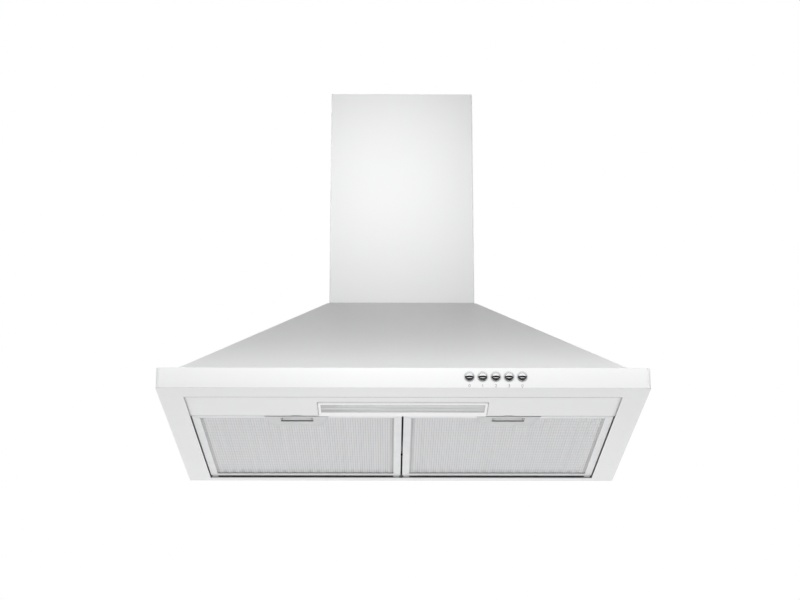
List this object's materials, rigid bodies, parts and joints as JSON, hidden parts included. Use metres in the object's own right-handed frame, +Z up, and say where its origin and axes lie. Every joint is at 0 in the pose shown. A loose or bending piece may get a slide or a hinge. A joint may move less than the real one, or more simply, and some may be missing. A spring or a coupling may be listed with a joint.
{
  "type": "chimney range hood",
  "caption": "Wall-mounted chimney range hood with a pyramid canopy, swing-down grease filters, lamp, push buttons and an inner blower.",
  "frame": {"origin": "middle of the back face at the height of the lower rim", "axes": "+X to the right as seen from the front, +Y into the wall, +Z up"},
  "size_m": [0.6, 0.4836, 0.523],
  "materials": {
    "white_enamel": "white powder coat, satin",
    "galvanised_sheet": "zinc-coated steel sheet, spangled",
    "filter_aluminium": "bare aluminium",
    "chrome_trim": "bright chrome",
    "clear_plastic": "clear ribbed plastic",
    "lamp_glass": "opal lamp glass",
    "black_plastic": "moulded black",
    "grey_plastic": "moulded grey",
    "white_plastic": "moulded white",
    "black_rubber": "moulded rubber",
    "zinc_steel": "zinc-plated steel",
    "spring_steel": "spring steel",
    "motor_enamel": "dark enamel"
  },
  "bodies": {
    "hood": {"back_panel": "galvanised_sheet", "base_frame": "white_enamel", "blower_bracket_left": "galvanised_sheet", "blower_bracket_right": "galvanised_sheet", "button_bezels": "chrome_trim", "cable_gland": "black_plastic", "canopy_shell": "white_enamel", "capacitor": "white_plastic", "capacitor_clamp": "galvanised_sheet", "casing_left": "galvanised_sheet", "casing_right": "galvanised_sheet", "chimney_clips": "galvanised_sheet", "chimney_cover": "white_enamel", "duct_adapter": "black_plastic", "duct_collar": "black_plastic", "filter_rod": "zinc_steel", "flap_pin": "zinc_steel", "inlet_ring_left": "galvanised_sheet", "inlet_ring_right": "galvanised_sheet", "lamp_base": "white_plastic", "lamp_clip": "spring_steel", "lamp_holder": "black_plastic", "lamp_panel": "white_enamel", "lamp_tray": "galvanised_sheet", "lamp_tube": "lamp_glass", "machine_screws": "zinc_steel", "motor": "motor_enamel", "motor_bracket": "galvanised_sheet", "rear_rail": "galvanised_sheet", "rubber_bushes": "black_rubber", "switch_block": "black_plastic", "terminal_box": "white_plastic", "terminal_lid": "white_plastic", "wiring": "black_rubber"},
    "chimney_upper": {"chimney_extension": "white_enamel"},
    "lamp_door": {"lamp_cover": "white_plastic", "lamp_lens": "clear_plastic"},
    "blower_wheel": {"impeller": "grey_plastic", "motor_shaft": "zinc_steel"},
    "damper_front": {"flap_front": "grey_plastic"},
    "damper_rear": {"flap_rear": "grey_plastic"},
    "push_off": {"button_off": "chrome_trim"},
    "push_speed_1": {"button_speed_1": "chrome_trim"},
    "push_speed_2": {"button_speed_2": "chrome_trim"},
    "push_speed_3": {"button_speed_3": "chrome_trim"},
    "push_light": {"button_light": "chrome_trim"},
    "filter_left": {"filter_frame_left": "filter_aluminium", "filter_mesh_left": "filter_aluminium", "filter_core_left": "filter_aluminium", "latch_plate_left": "filter_aluminium", "latch_housing_left": "grey_plastic", "latch_spring_left": "spring_steel"},
    "latch_left": {"latch_slider_left": "grey_plastic"},
    "filter_right": {"filter_frame_right": "filter_aluminium", "filter_mesh_right": "filter_aluminium", "filter_core_right": "filter_aluminium", "latch_plate_right": "filter_aluminium", "latch_housing_right": "grey_plastic", "latch_spring_right": "spring_steel"},
    "latch_right": {"latch_slider_right": "grey_plastic"}
  },
  "joints": [
    {"name": "chimney_slide", "type": "slide", "parent": "hood", "child": "chimney_upper", "axis": [0, 0, 1], "range_m": [0, 0.22]},
    {"name": "lamp_cover_swing", "type": "hinge", "parent": "hood", "child": "lamp_door", "pos_m": [0, -0.401, 0.0046], "axis": [-1, 0, 0], "range_deg": [0, 70]},
    {"name": "impeller_spin", "type": "hinge", "parent": "hood", "child": "blower_wheel", "pos_m": [0, -0.12, 0.118], "axis": [1, 0, 0], "continuous": true},
    {"name": "flap_front_swing", "type": "hinge", "parent": "hood", "child": "damper_front", "pos_m": [0, -0.08, 0.254], "axis": [-1, 0, 0], "range_deg": [0, 80]},
    {"name": "flap_rear_swing", "type": "hinge", "parent": "hood", "child": "damper_rear", "pos_m": [0, -0.08, 0.254], "axis": [1, 0, 0], "range_deg": [0, 80]},
    {"name": "off_press", "type": "slide", "parent": "hood", "child": "push_off", "axis": [0, 1, 0], "range_m": [0, 0.003], "stiffness_N_per_m": 500, "springref_m": -0.002},
    {"name": "speed_1_press", "type": "slide", "parent": "hood", "child": "push_speed_1", "axis": [0, 1, 0], "range_m": [0, 0.003], "stiffness_N_per_m": 500, "springref_m": -0.002},
    {"name": "speed_2_press", "type": "slide", "parent": "hood", "child": "push_speed_2", "axis": [0, 1, 0], "range_m": [0, 0.003], "stiffness_N_per_m": 500, "springref_m": -0.002},
    {"name": "speed_3_press", "type": "slide", "parent": "hood", "child": "push_speed_3", "axis": [0, 1, 0], "range_m": [0, 0.003], "stiffness_N_per_m": 500, "springref_m": -0.002},
    {"name": "light_press", "type": "slide", "parent": "hood", "child": "push_light", "axis": [0, 1, 0], "range_m": [0, 0.003], "stiffness_N_per_m": 500, "springref_m": -0.002},
    {"name": "filter_left_swing", "type": "hinge", "parent": "hood", "child": "filter_left", "pos_m": [-0.13498, -0.0145, 0.004], "axis": [1, 0, 0], "range_deg": [0, 45]},
    {"name": "latch_left_slide", "type": "slide", "parent": "filter_left", "child": "latch_left", "axis": [0, 1, 0], "range_m": [0, 0.004], "stiffness_N_per_m": 800, "springref_m": -0.003, "deforming": ["latch_spring_left"]},
    {"name": "filter_right_swing", "type": "hinge", "parent": "hood", "child": "filter_right", "pos_m": [0.13498, -0.0145, 0.004], "axis": [1, 0, 0], "range_deg": [0, 45]},
    {"name": "latch_right_slide", "type": "slide", "parent": "filter_right", "child": "latch_right", "axis": [0, 1, 0], "range_m": [0, 0.004], "stiffness_N_per_m": 800, "springref_m": -0.003, "deforming": ["latch_spring_right"]}
  ]
}
